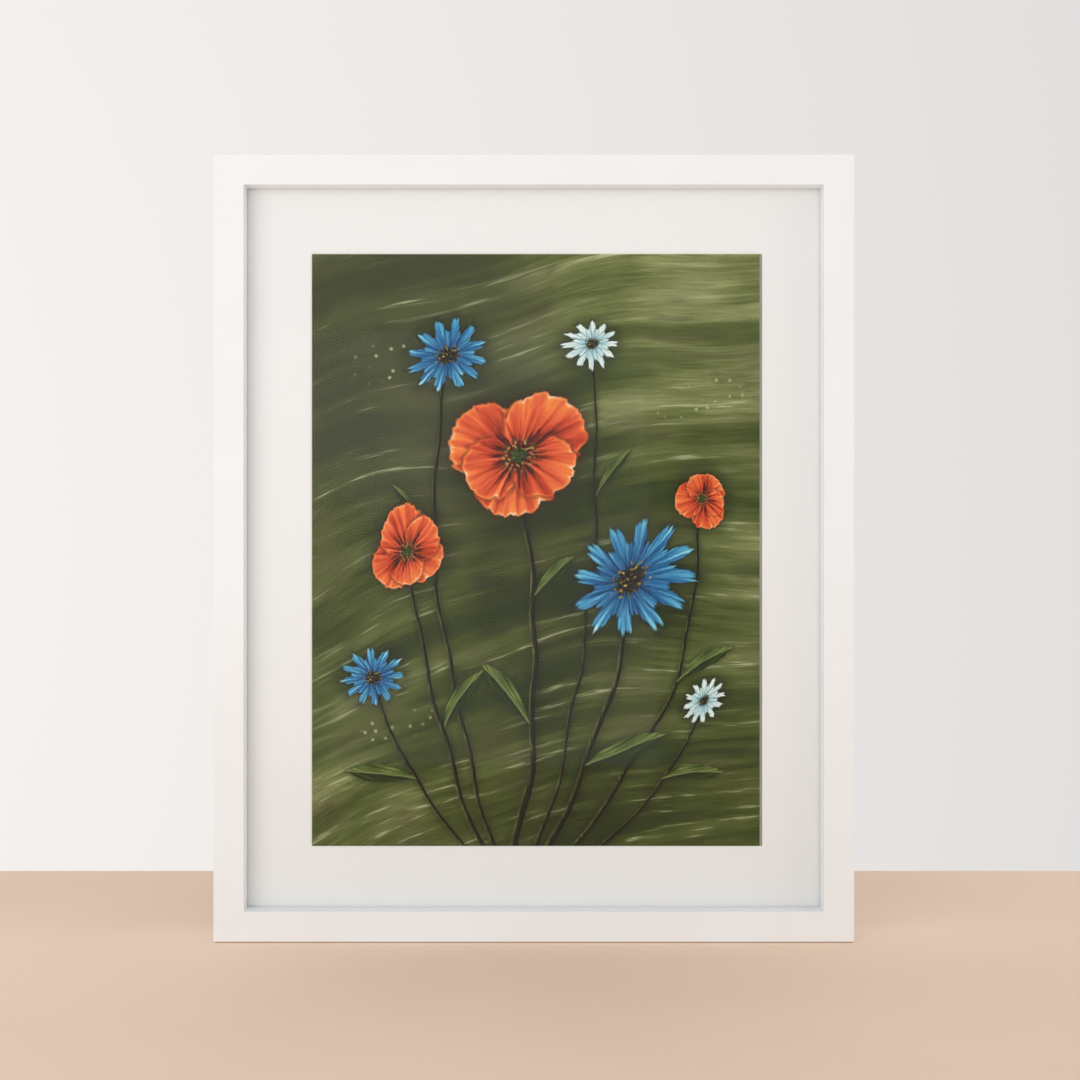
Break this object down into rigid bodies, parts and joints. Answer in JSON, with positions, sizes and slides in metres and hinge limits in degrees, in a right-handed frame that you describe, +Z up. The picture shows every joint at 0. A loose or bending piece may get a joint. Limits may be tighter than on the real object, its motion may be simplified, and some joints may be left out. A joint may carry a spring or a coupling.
{
  "type": "framed picture",
  "caption": "Deep white wooden picture frame that stands upright on its lower edge, with a clear pane, a bevel-cut mat and a painted print, and turn buttons and hanging rings behind.",
  "frame": {"origin": "on the floor, at the middle of the width and halfway between the front face and the proudest fitting on the back", "axes": "+Z up the picture, +X to the viewer's right, and the picture faces -Y"},
  "size_m": [0.432, 0.0395, 0.531],
  "materials": {
    "white_paint": "satin",
    "clear_pane": "polished",
    "mat_card": "matte",
    "art_print": "matte",
    "grey_board": "matte",
    "fibre_strip": "matte",
    "hardboard": "satin",
    "nickel_plate": "satin",
    "zinc_screw": "satin",
    "soft_rubber": "satin"
  },
  "bodies": {
    "frame": {"rail_bottom": "white_paint", "rail_left": "white_paint", "rail_top": "white_paint", "rail_right": "white_paint", "glazing": "clear_pane", "mat_board": "mat_card", "print_sheet": "art_print", "mount_board": "grey_board", "spacer_bottom": "fibre_strip", "spacer_left": "fibre_strip", "spacer_top": "fibre_strip", "spacer_right": "fibre_strip", "back_board": "hardboard", "button_screw_bottom_left": "zinc_screw", "button_screw_bottom_right": "zinc_screw", "button_screw_top_left": "zinc_screw", "button_screw_top_right": "zinc_screw", "button_screw_left_lower": "zinc_screw", "button_screw_left_upper": "zinc_screw", "button_screw_right_lower": "zinc_screw", "button_screw_right_upper": "zinc_screw", "hanger_plate_left": "nickel_plate", "hanger_plate_right": "nickel_plate", "hanger_screw_left": "zinc_screw", "hanger_screw_right": "zinc_screw", "bumper_left": "soft_rubber", "bumper_right": "soft_rubber"},
    "button_bottom_left": {"turn_button_bottom_left": "nickel_plate"},
    "button_bottom_right": {"turn_button_bottom_right": "nickel_plate"},
    "button_top_left": {"turn_button_top_left": "nickel_plate"},
    "button_top_right": {"turn_button_top_right": "nickel_plate"},
    "button_left_lower": {"turn_button_left_lower": "nickel_plate"},
    "button_left_upper": {"turn_button_left_upper": "nickel_plate"},
    "button_right_lower": {"turn_button_right_lower": "nickel_plate"},
    "button_right_upper": {"turn_button_right_upper": "nickel_plate"},
    "ring_left": {"hanger_ring_left": "nickel_plate"},
    "ring_right": {"hanger_ring_right": "nickel_plate"}
  },
  "joints": [
    {"name": "turn_bottom_left", "type": "hinge", "parent": "frame", "child": "button_bottom_left", "pos_m": [-0.12, 0.01605, 0.00775], "axis": [0, 1, 0], "range_deg": [-90, 90]},
    {"name": "turn_bottom_right", "type": "hinge", "parent": "frame", "child": "button_bottom_right", "pos_m": [0.12, 0.01605, 0.00775], "axis": [0, 1, 0], "range_deg": [-90, 90]},
    {"name": "turn_top_left", "type": "hinge", "parent": "frame", "child": "button_top_left", "pos_m": [-0.12, 0.01605, 0.52325], "axis": [0, 1, 0], "range_deg": [-90, 90]},
    {"name": "turn_top_right", "type": "hinge", "parent": "frame", "child": "button_top_right", "pos_m": [0.12, 0.01605, 0.52325], "axis": [0, 1, 0], "range_deg": [-90, 90]},
    {"name": "turn_left_lower", "type": "hinge", "parent": "frame", "child": "button_left_lower", "pos_m": [-0.20825, 0.01605, 0.0905], "axis": [0, 1, 0], "range_deg": [-90, 90]},
    {"name": "turn_left_upper", "type": "hinge", "parent": "frame", "child": "button_left_upper", "pos_m": [-0.20825, 0.01605, 0.4405], "axis": [0, 1, 0], "range_deg": [-90, 90]},
    {"name": "turn_right_lower", "type": "hinge", "parent": "frame", "child": "button_right_lower", "pos_m": [0.20825, 0.01605, 0.0905], "axis": [0, 1, 0], "range_deg": [-90, 90]},
    {"name": "turn_right_upper", "type": "hinge", "parent": "frame", "child": "button_right_upper", "pos_m": [0.20825, 0.01605, 0.4405], "axis": [0, 1, 0], "range_deg": [-90, 90]},
    {"name": "swing_ring_left", "type": "hinge", "parent": "frame", "child": "ring_left", "pos_m": [-0.20825, 0.01765, 0.36], "axis": [1, 0, 0], "range_deg": [0, 180]},
    {"name": "swing_ring_right", "type": "hinge", "parent": "frame", "child": "ring_right", "pos_m": [0.20825, 0.01765, 0.36], "axis": [1, 0, 0], "range_deg": [0, 180]}
  ]
}
